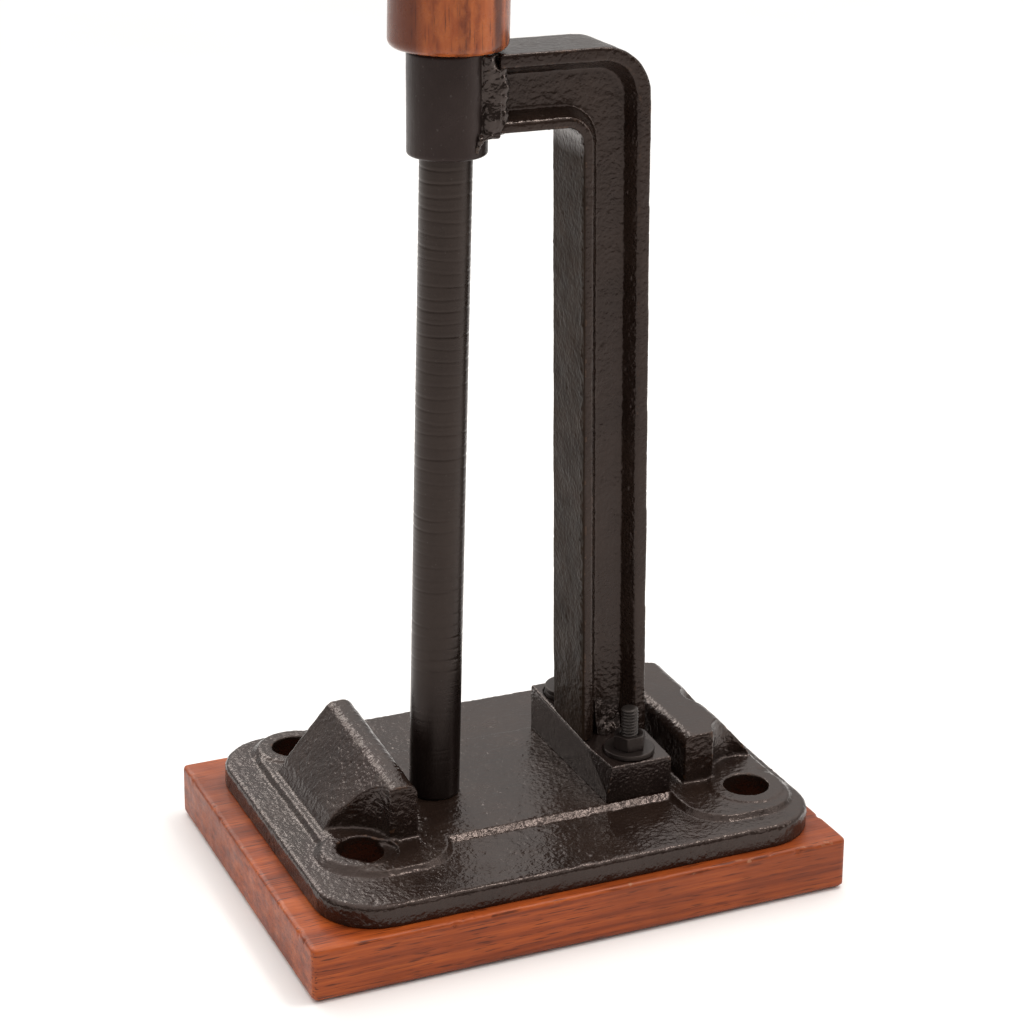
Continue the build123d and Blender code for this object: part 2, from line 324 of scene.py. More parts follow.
def lathe(name, prof, cx, cy, n, closed, disp=None):
    th = np.linspace(0, 2 * math.pi, n, endpoint=False)
    rows = []
    for r, z in prof:
        rr = np.full(n, max(r, 0.02))
        zz = np.full(n, float(z))
        if disp is not None:
            dr, dz = disp(th, rr, zz)
            rr, zz = rr + dr, zz + dz
        rows.append(np.stack([cx + rr * np.cos(th), cy + rr * np.sin(th), zz], 1))
    return rings_mesh(name, rows, closed)


def join_meshes(name, meshes):
    v, f, base = [], [], 0
    for me in meshes:
        p = coords(me) / 1000.0
        v.extend(tuple(x) for x in p)
        f.extend(tuple(i + base for i in poly.vertices) for poly in me.polygons)
        base += len(p)
        bpy.data.meshes.remove(me)
    out = bpy.data.meshes.new(name)
    out.from_pydata(v, [], f)
    out.update()
    shade(out)
    return out


# -------------------------------------------------------------- materials


class Mat:
    """Small helper that builds one procedural material in object coordinates."""

    def __init__(self, name):
        self.m = bpy.data.materials.new(name)
        self.m.use_nodes = True
        self.nt = self.m.node_tree
        self.nt.nodes.clear()
        self.out = self.add("ShaderNodeOutputMaterial")
        self.b = self.add("ShaderNodeBsdfPrincipled")
        self.link(self.b.outputs[0], self.out.inputs["Surface"])
        self.tc = self.add("ShaderNodeTexCoord")
        self.co = self.tc.outputs["Object"]

    def add(self, kind, **kw):
        nd = self.nt.nodes.new(kind)
        for k, v in kw.items():
            setattr(nd, k, v)
        return nd

    def link(self, a, b):
        self.nt.links.new(a, b)

    def put(self, node, socket, v):
        s = node.inputs[socket]
        if isinstance(v, bpy.types.NodeSocket):
            self.link(v, s)
        else:
            s.default_value = v

    def mapped(self, scale=(1, 1, 1), loc=(0, 0, 0), rot=(0, 0, 0), vec=None):
        nd = self.add("ShaderNodeMapping")
        self.link(vec or self.co, nd.inputs["Vector"])
        nd.inputs["Scale"].default_value = scale
        nd.inputs["Location"].default_value = loc
        nd.inputs["Rotation"].default_value = rot
        return nd.outputs[0]

    def noise(self, scale, detail=4.0, rough=0.55, vec=None, dist=0.0, color=False, kind="FBM"):
        nd = self.add("ShaderNodeTexNoise", noise_dimensions="3D")
        nd.noise_type = kind
        self.link(vec or self.co, nd.inputs["Vector"])
        nd.inputs["Scale"].default_value = scale
        nd.inputs["Detail"].default_value = detail
        nd.inputs["Roughness"].default_value = rough
        nd.inputs["Distortion"].default_value = dist
        return nd.outputs["Color" if color else "Fac"]

    def voronoi(self, scale, feature="F1", vec=None, rand=1.0, out="Distance"):
        nd = self.add("ShaderNodeTexVoronoi", feature=feature)
        self.link(vec or self.co, nd.inputs["Vector"])
        nd.inputs["Scale"].default_value = scale
        nd.inputs["Randomness"].default_value = rand
        return nd.outputs[out]

    def ramp(self, fac, stops, interp="LINEAR"):
        nd = self.add("ShaderNodeValToRGB")
        nd.color_ramp.interpolation = interp
        el = nd.color_ramp.elements
        while len(el) < len(stops):
            el.new(0.5)
        for e, (pos, col) in zip(el, stops):
            e.position = pos
            e.color = (*col, 1) if len(col) == 3 else col
        self.link(fac, nd.inputs["Fac"])
        return nd.outputs["Color"]

    def span(self, v, a, b, c, d, clamp=True, smooth_on=False):
        nd = self.add("ShaderNodeMapRange", clamp=clamp)
        if smooth_on:
            nd.interpolation_type = "SMOOTHSTEP"
        self.link(v, nd.inputs["Value"])
        for s, x in zip(("From Min", "From Max", "To Min", "To Max"), (a, b, c, d)):
            nd.inputs[s].default_value = x
        return nd.outputs[0]

    def math(self, op, a, b=None, c=None):
        nd = self.add("ShaderNodeMath", operation=op)
        self.put(nd, 0, a)
        if b is not None:
            self.put(nd, 1, b)
        if c is not None:
            self.put(nd, 2, c)
        return nd.outputs[0]

    def mix(self, fac, a, b, mode="MIX"):
        nd = self.add("ShaderNodeMix", data_type="RGBA", blend_type=mode)
        self.put(nd, 0, fac)
        for i, v in ((6, a), (7, b)):
            if isinstance(v, tuple):
                v = (*v, 1.0) if len(v) == 3 else v
            self.put(nd, i, v)
        return nd.outputs[2]

    def attribute(self, name):
        nd = self.add("ShaderNodeAttribute", attribute_name=name)
        return nd.outputs["Fac"]

    def xyz(self, vec=None):
        nd = self.add("ShaderNodeSeparateXYZ")
        self.link(vec or self.co, nd.inputs[0])
        return nd.outputs

    def bump(self, height, strength, dist, normal=None):
        nd = self.add("ShaderNodeBump")
        nd.inputs["Strength"].default_value = strength
        nd.inputs["Distance"].default_value = dist
        self.link(height, nd.inputs["Height"])
        if normal is not None:
            self.link(normal, nd.inputs["Normal"])
        return nd.outputs[0]

    def set(self, **kw):
        names = {"color": "Base Color", "rough": "Roughness", "metal": "Metallic", "spec": "Specular IOR Level",
                 "ior": "IOR", "coat": "Coat Weight", "coat_rough": "Coat Roughness", "coat_ior": "Coat IOR", "normal": "Normal",
                 "coat_normal": "Coat Normal", "tint": "Specular Tint"}
        for k, v in kw.items():
            if isinstance(v, tuple):
                v = (*v, 1.0)
            self.put(self.b, names[k], v)
        return self.m


def black_paint(name, dark, light, chip, rough, grain, bump_mm, spec=0.3, chips=0.5, coat=0.0, glint_amount=0.35):
    """Black brushing paint over cast iron: cloudy tone, fine sandy grain, worn brown spots on the edges."""
    m = Mat(name)
    cloud = m.noise(28.0, 5.0, 0.6)
    fine = m.noise(1100.0, 1.0, 0.5)
    col = m.ramp(cloud, [(0.30, dark), (0.72, light)])
    # small pale flecks in the grain are painted glints, standing in for the sparkle off the grainy paint
    glint_fleck = m.span(m.noise(900.0, 2.0, 0.5), 0.66, 0.78, 0.0, glint_amount)
    glint_col = tuple(min(1.0, c * 3.2 + 0.012) for c in light)
    col = m.mix(glint_fleck, col, glint_col)
    wear = m.attribute("wear")
    patch = m.noise(160.0, 4.0, 0.65)
    worn = m.math("MULTIPLY", m.span(wear, 0.45, 0.85, 0.0, 1.0), m.span(patch, 0.56, 0.64, 0.0, chips))
    col = m.mix(worn, col, chip)
    rg = m.span(m.noise(60.0, 5.0, 0.6), 0.3, 0.7, rough[0], rough[1])
    rg = m.math("ADD", rg, m.math("MULTIPLY", worn, 0.25))
    h = m.math("ADD", m.math("MULTIPLY", fine, 0.22), m.noise(grain, 1.5, 0.5))
    nrm = m.bump(h, 1.0, bump_mm * MM)
    # faces marked dull were never brushed over: bare brown scale
    dull = m.attribute("dull")
    col = m.mix(dull, col, m.ramp(m.noise(70.0, 4.0, 0.6), [(0.3, (0.015, 0.0088, 0.0055)), (0.7, (0.030, 0.0176, 0.0110))]))
    rg = m.math("ADD", rg, m.math("MULTIPLY", dull, 0.22))
    m.set(color=col, rough=rg, spec=m.span(dull, 0.0, 1.0, spec, 0.05), normal=nrm, tint=(1.0, 0.82, 0.76))
    if coat:
        m.set(coat=coat, coat_rough=0.25)
    return m.m


def assign(o, mat):
    o.data.materials.clear()
    o.data.materials.append(mat)


def piece(name, me, mat, body, slot, *nodes):
    o = link(name, me)
    assign(o, mat)
    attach(o, body)
    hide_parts(*nodes)
    return o


M_CHAIR = black_paint("paint_chair", (0.0095, 0.0050, 0.0036), (0.0215, 0.0125, 0.0090), (0.120, 0.055, 0.026),
                      (0.15, 0.30), 430.0, 0.42, spec=0.48, chips=0.55)
M_ARM = black_paint("paint_arm", (0.0095, 0.0052, 0.0038), (0.0215, 0.0130, 0.0095), (0.085, 0.045, 0.026),
                    (0.14, 0.28), 430.0, 0.40, spec=0.36, chips=0.5)
M_FOOT = black_paint("paint_foot", (0.0075, 0.0047, 0.0040), (0.0175, 0.0115, 0.0095), (0.075, 0.042, 0.026),
                     (0.14, 0.28), 520.0, 0.40, spec=0.46, chips=0.6, glint_amount=0.3)
M_WELD = black_paint("paint_weld", (0.0085, 0.0056, 0.0046), (0.0210, 0.0145, 0.0120), (0.095, 0.062, 0.040),
                     (0.10, 0.20), 420.0, 0.30, spec=0.55, chips=0.4)


def sleeve_paint():
    m = Mat("paint_sleeve")
    col = m.ramp(m.noise(22.0, 5.0, 0.6), [(0.3, (0.0105, 0.0066, 0.0060)), (0.72, (0.0230, 0.0158, 0.0140))])
    # small pale flecks are painted glints of the grainy paint
    glint_fleck = m.span(m.noise(460.0, 3.0, 0.55), 0.66, 0.76, 0.0, 0.6)
    col = m.mix(glint_fleck, col, (0.075, 0.068, 0.062))
    rg = m.span(m.noise(46.0, 5.0, 0.6), 0.3, 0.7, 0.24, 0.42)
    brush = m.noise(60.0, 3.0, 0.5, vec=m.mapped(scale=(6, 6, 0.5)))
    h = m.math("ADD", m.math("MULTIPLY", brush, 0.5), m.math("MULTIPLY", m.noise(700.0, 3.0, 0.6), 0.3))
    return m.set(color=col, rough=rg, spec=0.3, normal=m.bump(h, 1.0, 0.22 * MM), tint=(1.0, 0.80, 0.76))


def rod_paint():
    m = Mat("paint_rod")
    x, y, z = m.xyz()
    ring = m.noise(1.0, 3.0, 0.6, vec=m.mapped(scale=(14, 14, 520)))
    cloud = m.noise(34.0, 4.0, 0.6, vec=m.mapped(scale=(1, 1, 0.45)))
    col = m.ramp(cloud, [(0.3, (0.0115, 0.0076, 0.0062)), (0.72, (0.0245, 0.0178, 0.0148))])
    # below the turned part the paint is darker
    low = m.span(z, 0.105, 0.135, 1.0, 0.0, smooth_on=True)
    col = m.mix(m.math("MULTIPLY", low, 0.7), col, (0.0050, 0.0028, 0.0026))
    # small pale flecks are painted glints of the grainy paint
    glint_fleck = m.span(m.noise(640.0, 2.0, 0.5), 0.70, 0.80, 0.0, 0.5)
    col = m.mix(glint_fleck, col, (0.070, 0.062, 0.055))
    # roughness follows the cloudy tone and the ring grooves
    rg = m.span(m.math("ADD", m.math("MULTIPLY", cloud, 0.6), m.math("MULTIPLY", ring, 0.4)), 0.35, 0.65, 0.22, 0.40)
    h = m.math("ADD", m.math("MULTIPLY", ring, 0.7), m.math("MULTIPLY", m.noise(500.0, 3.0, 0.6), 0.3))
    return m.set(color=col, rough=rg, spec=0.32, normal=m.bump(h, 0.9, 0.18 * MM), tint=(1.0, 0.82, 0.76))


def handle_lacquer():
    """Rosewood with painted shade darkening one side, long grain up the handle, clear lacquer on top."""
    m = Mat("wood_handle")
    warp = m.noise(9.0, 3.0, 0.5, vec=m.mapped(scale=(1, 1, 0.28)), color=True)
    wv = m.add("ShaderNodeVectorMath", operation="MULTIPLY_ADD")
    m.link(warp, wv.inputs[0])
    wv.inputs[1].default_value = (0.010, 0.010, 0.004)
    m.link(m.co, wv.inputs[2])
    vec = wv.outputs[0]
    x, y, z = m.xyz(vec)
    # position across the view, used for the painted shade below; growth rings of a board sawn well away from the pith:
    # nearly straight bands across X
    shade_across = m.math("ADD", m.math("MULTIPLY", x, 0.97), m.math("MULTIPLY", y, -0.35))
    rings = m.noise(1.0, 3.0, 0.62, vec=m.mapped(scale=(82, 30, 2.4), rot=(0, 0, math.radians(20)), vec=vec))
    col = m.ramp(rings, [(0.22, (0.062, 0.012, 0.004)), (0.40, (0.175, 0.035, 0.009)), (0.52, (0.310, 0.068, 0.016)),
                         (0.66, (0.410, 0.100, 0.023)), (0.80, (0.230, 0.046, 0.011))])
    fig = m.noise(240.0, 3.0, 0.6, vec=m.mapped(scale=(1, 1, 0.42), vec=vec))
    col = m.mix(m.span(fig, 0.40, 0.62, 0.0, 0.55), col, (0.440, 0.122, 0.030))
    pores = m.noise(900.0, 2.0, 0.5, vec=m.mapped(scale=(1, 1, 0.06)))
    col = m.mix(m.span(pores, 0.60, 0.70, 0.0, 0.75), col, (0.045, 0.012, 0.006))
    heart = m.span(m.noise(16.0, 2.0, 0.5, vec=m.mapped(scale=(1, 1, 0.2), loc=(0.03, 0, 0))), 0.46, 0.58, 0.0, 0.45)
    col = m.mix(heart, col, (0.110, 0.020, 0.007))
    # painted shade: one side of the handle, across the view, is darkened, and a narrow painted dark stripe runs down
    # the other side
    col = m.mix(m.span(shade_across, -0.052, -0.043, 0.66, 0.0, smooth_on=True), col, (0.060, 0.011, 0.004))
    painted_dark_stripe = m.math("MULTIPLY", m.span(shade_across, -0.010, -0.0075, 0.0, 1.0, smooth_on=True), m.span(shade_across, -0.0055, -0.003, 0.75, 0.0, smooth_on=True))
    col = m.mix(painted_dark_stripe, col, (0.050, 0.010, 0.004))
    rg = m.span(m.noise(120.0, 4.0, 0.6), 0.3, 0.7, 0.22, 0.34)
    h = m.math("ADD", m.math("MULTIPLY", pores, -0.6), m.math("MULTIPLY", m.noise(90.0, 3.0, 0.5), 0.4))
    return m.set(color=col, rough=rg, spec=0.3, normal=m.bump(h, 0.5, 0.20 * MM), coat=0.12, coat_rough=0.14)


def board_lacquer():
    """Mahogany board, grain along X, thin satin finish, a little wear on the edges."""
    m = Mat("wood_board")
    warp = m.noise(7.0, 3.0, 0.5, vec=m.mapped(scale=(0.3, 1, 1)), color=True)
    wv = m.add("ShaderNodeVectorMath", operation="MULTIPLY_ADD")
    m.link(warp, wv.inputs[0])
    wv.inputs[1].default_value = (0.004, 0.012, 0.012)
    m.link(m.co, wv.inputs[2])
    vec = wv.outputs[0]
    rings = m.noise(1.0, 4.0, 0.62, vec=m.mapped(scale=(4.5, 80, 230), vec=vec))
    col = m.ramp(rings, [(0.25, (0.111, 0.019, 0.0040)), (0.42, (0.240, 0.041, 0.0070)), (0.56, (0.377, 0.073, 0.0120)),
                         (0.70, (0.481, 0.108, 0.0180)), (0.84, (0.293, 0.054, 0.0090))])
    pores = m.noise(1.0, 2.0, 0.5, vec=m.mapped(scale=(55, 900, 900)))
    col = m.mix(m.span(pores, 0.56, 0.67, 0.0, 0.8), col, (0.050, 0.010, 0.004))
    cloud = m.noise(11.0, 4.0, 0.55)
    col = m.mix(m.span(cloud, 0.42, 0.60, 0.0, 0.5), col, (0.163, 0.030, 0.0060))
    wear = m.attribute("wear")
    edge = m.math("MULTIPLY", m.span(wear, 0.5, 0.9, 0.0, 1.0), m.span(m.noise(70.0, 4.0, 0.65), 0.58, 0.66, 0.0, 0.55))
    col = m.mix(edge, col, (0.42, 0.24, 0.14))
    rg = m.span(m.noise(90.0, 4.0, 0.6), 0.3, 0.7, 0.34, 0.52)
    h = m.math("ADD", m.math("MULTIPLY", pores, -0.7), m.math("MULTIPLY", rings, 0.3))
    return m.set(color=col, rough=rg, spec=0.28, normal=m.bump(h, 0.8, 0.22 * MM), coat=0.06, coat_rough=0.25)


def steel(name, col, rough, metal=1.0):
    m = Mat(name)
    c = m.ramp(m.noise(130.0, 5.0, 0.6), [(0.3, tuple(x * 0.55 for x in col)), (0.7, col)])
    c = m.mix(m.span(m.noise(420.0, 3.0, 0.6), 0.60, 0.70, 0.0, 0.6), c, (0.030, 0.020, 0.016))
    r = m.span(m.noise(240.0, 4.0, 0.6), 0.3, 0.7, rough[0], rough[1])
    return m.set(color=c, rough=r, metal=metal, normal=m.bump(m.noise(900.0, 3.0, 0.6), 0.5, 0.05 * MM))


M_SLEEVE = sleeve_paint()
M_ROD = rod_paint()
M_HANDLE = handle_lacquer()
M_BOARD = board_lacquer()
M_STUD = steel("steel_stud", (0.050, 0.041, 0.037), (0.28, 0.44), 0.6)
M_ZINC = steel("steel_zinc", (0.42, 0.41, 0.39), (0.30, 0.48))
M_NUT = black_paint("paint_nut", (0.0085, 0.0062, 0.0056), (0.0180, 0.0140, 0.0124), (0.080, 0.060, 0.045),
                    (0.30, 0.44), 520.0, 0.10, spec=0.36, chips=0.5, glint_amount=0.25)

# ------------------------------------------------------------ chair casting


def build_chair():
    me = remeshed("base_plate", 0.85, 4)
    p = coords(me)
    n = normals(me)
    up = np.clip(n[:, 2], 0, 1)
    low = p[:, 2] < PLATE0[2] + 0.6
    # slow waves of a sand casting, then lumps, then grain
    d = 0.30 * fbm(p, 26.0, 3, 3) + 0.20 * fbm(p, 6.5, 17, 3) + 0.17 * fbm(p, 2.3, 29, 2)
    seat = (np.abs(p[:, 2] - SEAT_Z) < 1.2) & (np.abs(p[:, 1] - AY) < 53) & (up > 0.8)
    side = sstep(0.7, 0.2, up)
    d = d + side * 0.22 * fbm(p, 3.6, 41, 3)
    d -= dents(p, 5, 420, (0.9, 2.2), (0.10, 0.42), where=~low)
    d -= dents(p, 6, 160, (0.8, 1.6), (0.18, 0.45), where=seat)
    d += dents(p, 7, 520, (0.8, 1.7), (0.10, 0.30), where=~low & ~seat)
    hole = np.zeros(len(p), bool)
    p2 = p + n * d[:, None] * np.where(low, 0.0, 1.0)[:, None]
    set_coords(me, keep_in(p2, PLATE0, PLATE1))
    c = convexity(me)
    attr(me, "wear", np.clip(c / np.percentile(c, 99.5), 0, 1))
    shade(me)
    return me


def build_arm():
    me = remeshed("arm", 0.8, 16)
    p = coords(me)
    n = normals(me)
    d = 0.26 * fbm(p, 30.0, 53, 3) + 0.14 * fbm(p, 7.0, 61, 3) + 0.06 * fbm(p, 2.3, 67, 2)
    pocket = np.abs(p[:, 1] - AY) < 17.0
    d = d + np.where(pocket, 0.16 * fbm(p, 4.2, 71, 3), 0)
    foot = sstep(175.0, 90.0, p[:, 2]) * pocket
    d = d + foot * 0.35 * fbm(p, 4.8, 73, 3)
    d -= dents(p, 8, 260, (0.8, 1.9), (0.12, 0.40))
    d += dents(p, 9, 420, (0.7, 1.4), (0.10, 0.32))
    # parting-line crumbs down the inner face
    inner = (n[:, 0] < -0.7) & (np.abs(p[:, 1] - (ARM0[1] + 3.6)) < 1.6) & (p[:, 0] < (ARM0[0] + ARM1[0]) / 2 + 30)
    d += dents(p, 10, 150, (0.8, 1.7), (0.2, 0.6), where=inner)
    set_coords(me, keep_in(p + n * d[:, None], ARM0, ARM1))
    below = sstep(ARM1[2] - 50.0, ARM1[2] - 62.0, p[:, 2])
    face = sstep(-0.55, -0.85, n[:, 0]) * below * sstep((ARM0[0] + ARM1[0]) / 2 + 12, (ARM0[0] + ARM1[0]) / 2 + 8, p[:, 0])
    attr(me, "dull", face)
    c = convexity(me)
    attr(me, "wear", np.clip(c / np.percentile(c, 99.5), 0, 1))
    shade(me)
    return me


def build_block():
    me = remeshed("foot_block", 0.5, 4)
    p = coords(me)
    n = normals(me)
    d = 0.09 * fbm(p, 12.0, 83, 3) + 0.08 * fbm(p, 1.9, 89, 2)
    d -= dents(p, 11, 90, (0.6, 1.4), (0.08, 0.28))
    set_coords(me, keep_in(p + n * d[:, None], BLOCK0, BLOCK1))
    c = convexity(me)
    attr(me, "wear", np.clip(c / np.percentile(c, 99.0), 0, 1))
    shade(me)
    return me


def build_weld(node, voxel, seed, lumps=(), shape=None):
    def extra(bm):
        for x, y, z, r in lumps:
            ret = bmesh.ops.create_icosphere(bm, subdivisions=2, radius=r * MM)
            bmesh.ops.translate(bm, verts=ret["verts"], vec=(x * MM, y * MM, z * MM))
    me = remeshed(node, voxel, 5, extra)
    p = coords(me)
    if shape is not None:
        p = shape(p)
        set_coords(me, p)
        smooth(me, 7, 0.5, -0.25)
        p = coords(me)
    n = normals(me)
    d = 0.40 * fbm(p, 5.0, seed, 3) + 0.14 * fbm(p, 1.9, seed + 3, 2)
    d += dents(p, seed, 70, (0.6, 1.3), (0.1, 0.4))
    set_coords(me, p + n * d[:, None])
    c = convexity(me)
    attr(me, "wear", np.clip(c / np.percentile(c, 99.0), 0, 1))
    shade(me)
    return me


SW0, SW1 = box("sleeve_weld")


def guide_bead(p):
    """The run of weld between guide and arm: a groove against the guide, a rippled bead against the arm."""
    q = p.copy()
    x, z = p[:, 0], p[:, 2]
    for side in (-1, 1):
        face = (ARM0[1] if side < 0 else ARM1[1])
        g = 3.4 * np.exp(-((x - (SW0[0] + 2.0)) / 2.3) ** 2)
        ripple = 0.9 * vnoise(p, (9.0, 9.0, 8.5), 127) * sstep(SW0[0] + 3.0, SW0[0] + 6.0, x)
        notch = 3.2 * np.exp(-((x - SW1[0]) / 1.8) ** 2) * sstep(SW1[2] - 9.0, SW1[2] - 4.0, z)
        inward = 0.2 + g - ripple + notch + 0.8 * vnoise(p, (5.0, 5.0, 7.0), 125)
        # the drips that run on down the guide keep their own shape
        hold = sstep(SW0[2] - 1.0, SW0[2] + 4.0, z)
        lim = face - side * (inward * hold - 1.5 * (1 - hold))
        far = q[:, 1] * side > lim * side
        reach = np.abs(q[:, 1] - AY) > 15.0
        q[:, 1] = np.where(far & reach, lim, q[:, 1])
    return q


def foot_run(p):
    """Weld thrown up the web at the foot, thinning to nothing."""
    q = p.copy()
    z = p[:, 2]
    mid = (FWELD0[1] + FWELD1[1]) / 2
    for side in (-1, 1):
        yw = mid + side * (FWELD1[1] - FWELD0[1]) / 2 - side * 6.2
        own = (p[:, 1] - mid) * side > 0
        t = 6.0 * sstep(FWELD0[2] + 17.0, FWELD0[2] + 4.0, z) + 1.4 - 2.6 * sstep(FWELD0[2] + 14.0, FWELD0[2] + 26.0, z)
        t = t + 1.1 * vnoise(p, (4.0, 40.0, 5.0), 131 + side)
        lim = yw + side * t
        far = (q[:, 1] - lim) * side > 0
        q[:, 1] = np.where(far & own, lim, q[:, 1])
    return q


def build_board():
    me = remeshed("base_board", 1.3, 2)
    p = coords(me)
    n = normals(me)
    flat = (p[:, 2] < 1.0)
    d = 0.10 * fbm(p, (60, 26, 26), 91, 3) + 0.03 * fbm(p, (14, 3, 3), 97, 2)
    c0 = convexity(me, 2)
    edge = c0 > np.percentile(c0, 97.5)
    d -= dents(p, 12, 46, (1.4, 3.4), (0.25, 0.9), where=edge)
    d -= dents(p, 13, 40, (1.4, 2.6), (0.06, 0.22))
    p2 = p + n * (d * np.where(flat, 0.0, 1.0))[:, None]
    set_coords(me, keep_in(p2, BOARD0, BOARD1))
    c = convexity(me)
    attr(me, "wear", np.clip(c / np.percentile(c, 99.0), 0, 1))
    shade(me)
    return me


o_board = piece("board", build_board(), M_BOARD, "stand", "board_wood", "base_board")
o_chair = piece("chair_casting", build_chair(), M_CHAIR, "stand", "chair_iron", "base_plate")
o_arm = piece("arm_casting", build_arm(), M_ARM, "stand", "arm_iron", "arm")
o_block = piece("foot_bar", build_block(), M_FOOT, "stand", "foot_iron", "foot_block")
FWELD0, FWELD1 = box("foot_weld")
wy = FWELD0[1] + 6.2                     # face of the web
foot_lumps = [(60.4, wy - 2.0, 80.8, 3.3), (54.8, wy - 2.4, 75.5, 3.4), (55.8, wy - 4.2, 71.6, 3.8), (59.6, wy - 3.2, 73.6, 3.6),
              (52.8, wy - 3.2, 70.8, 3.0), (63.0, wy - 4.6, 70.2, 3.2), (57.4, wy - 2.0, 78.4, 2.6)]
o_fweld = piece("foot_weld_beads", build_weld("foot_weld", 0.45, 101, foot_lumps, foot_run), M_WELD, "stand", "weld_black", "foot_weld")
gx, gy = SW1[0], ARM0[1]
guide_lumps = [(gx - 2.8, gy + 0.9, 438.0, 2.6), (gx - 5.6, gy + 1.2, 434.8, 2.6), (gx - 8.8, gy + 1.6, 432.6, 2.5),
               (gx - 11.4, gy + 1.7, 430.2, 2.2), (gx - 12.6, gy + 1.6, 427.2, 1.8), (gx - 13.2, gy + 1.5, 424.6, 1.4),
               (gx - 5.0, gy + 1.4, 467.0, 2.3), (gx - 8.6, gy + 1.9, 461.5, 2.1), (gx - 3.4, gy + 1.2, 457.0, 1.9)]
for k in range(7):
    guide_lumps.append((gx + 1.6 + 0.5 * math.sin(2.1 * k), gy + 6.0, 437.5 + 5.1 * k, 5.4 + 0.5 * math.cos(1.7 * k)))
o_sweld = piece("sleeve_weld_beads", build_weld("sleeve_weld", 0.5, 121, guide_lumps, guide_bead), M_WELD, "stand", "weld_black", "sleeve_weld")

# ------------------------------------------------------------ turned parts
NSEG = 160


def loop_noise(th, z, scale, seed, r=20.0):
    q = np.stack([r * np.cos(th), r * np.sin(th), z], 1)
    return fbm(q, scale, seed, 3)


def build_sleeve():
    ro, ri = (SLEEVE1[0] - SLEEVE0[0]) / 2, 15.3
    z0, z1 = SLEEVE0[2], SLEEVE1[2]
    prof = fillets([(ri, z0), (ro, z0), (ro, z1), (ri, z1)], [0.6, 1.8, 1.6, 0.6], 6)
    prof = densify(prof, 1.0, True)

    def disp(th, rr, zz):
        out = (rr > ri + 1.5)
        d = -0.10 + 0.08 * loop_noise(th, zz, 9.0, 131) + 0.03 * loop_noise(th, zz, 2.4, 137)
        return np.where(out, np.minimum(d, 0.0), 0.0), np.zeros_like(zz)
    return lathe("sleeve", prof, AX, AY, NSEG, True, disp)


RING_PITCH = 7.05


def build_rod():
    r = (ROD1[1] - ROD0[1]) / 2
    z0 = PZ - (PZ - ROD0[2] - r * SIN) / COS
    z1 = PZ + (ROD1[2] - (r - 1) * SIN - PZ) / COS
    bore = 5.05
    rs = np.random.RandomState(141)
    zc = np.arange(414.0, 122.0, -RING_PITCH)
    zc = zc + rs.uniform(-0.45, 0.45, len(zc))
    dep = rs.uniform(0.12, 0.24, len(zc))
    ph = rs.uniform(0, 2 * math.pi, len(zc))
    wid = rs.uniform(0.50, 0.80, len(zc))
    prof = []
    outer = fillets([(bore, z0 + 1.0), (bore + 0.01, z0), (r, z0), (r, z1), (bore, z1)], [0, 0, 1.3, 1.0, 0], 6)
    prof = [(0.0, z0)] + densify(outer[2:-1], 0.45) + [(bore, z1), (bore, z1 - 42.0), (0.0, z1 - 42.0)]

    def disp(th, rr, zz):
        z = zz[0]
        if rr[0] < r - 0.3 or z > 476:
            return np.zeros_like(rr), np.zeros_like(rr)
        d = np.full_like(rr, -0.06) + 0.05 * loop_noise(th, zz, (18, 18, 30), 149, r)
        shade_across = sstep(118, 128, z)
        near = np.abs(zc - z) < 3.2
        for c, dp, p_, w in zip(zc[near], dep[near], ph[near], wid[near]):
            # each groove is deeper on one side and fades a little round the bar
            k = 0.74 + 0.26 * np.cos(th - p_)
            wob = 0.35 * np.sin(th * 2 + p_)
            g = np.exp(-((zz - c - wob) / w) ** 2)
            lipg = np.exp(-((zz - c - wob - 1.5) / 0.8) ** 2)
            d = d - shade_across * dp * k * g + shade_across * 0.02 * k * lipg
        return np.minimum(d, 0.0), np.zeros_like(rr)
    return lean_mesh(lathe("rod", prof, AX, AY, NSEG, False, disp), ROD0, ROD1)


def build_handle():
    ro = (HANDLE1[1] - HANDLE0[1]) / 2
    z0 = SLEEVE1[2] + 0.8
    z1 = z0 + 189.2
    pts = [(14.62, z0), (ro, z0), (ro, z1), (12.0, z1), (12.0, z1 - 28.0), (5.5, z1 - 28.0), (5.5, z1 - 59.5), (14.62, z1 - 59.5)]
    rad = [0.8, 5.0, 9.0, 0.5, 0, 0, 0, 0]
    prof = densify(fillets(pts, rad, 9), 1.5, True)

    def disp(th, rr, zz):
        out = rr > 16
        d = -0.12 + 0.10 * loop_noise(th, zz, (24, 24, 70), 157, ro)
        return np.where(out, np.minimum(d, 0.0), 0.0), np.zeros_like(rr)
    return lean_mesh(lathe("handle", prof, AX, AY, NSEG, True, disp), HANDLE0, HANDLE1)


def build_plug():
    r = (PLUG1[1] - PLUG0[1]) / 2
    z1 = SLEEVE1[2] + 190.0
    z0 = z1 - 16.0
    prof = [(0.0, z0)] + densify(fillets([(0.0, z0), (r, z0), (r, z1 - 0.25), (0.0, z1)], [0, 0.4, 0.7, 0], 5)[1:-1], 1.0) + [(0.0, z1)]
    return lean_mesh(lathe("plug", prof, AX, AY, 72, False), PLUG0, PLUG1)


o_sleeve = piece("ram_guide", build_sleeve(), M_SLEEVE, "stand", "sleeve_black", "guide_sleeve")
o_rod = piece("ram_bar", build_rod(), M_ROD, "ram", "rod_black", "ram_rod")
o_handle = piece("turned_handle", build_handle(), M_HANDLE, "ram", "handle_wood", "handle")
o_plug = piece("handle_end_plug", build_plug(), M_HANDLE, "ram", "plug_wood", "handle_plug")

# --------------------------------------------------------- studs and nuts
FB0, FB1 = box("foot_bolts")
FW0, FW1 = box("foot_flat_washers")
FN0, FN1 = box("foot_nuts")
WT, NH, WR = 2.8, 8.4, 14.6
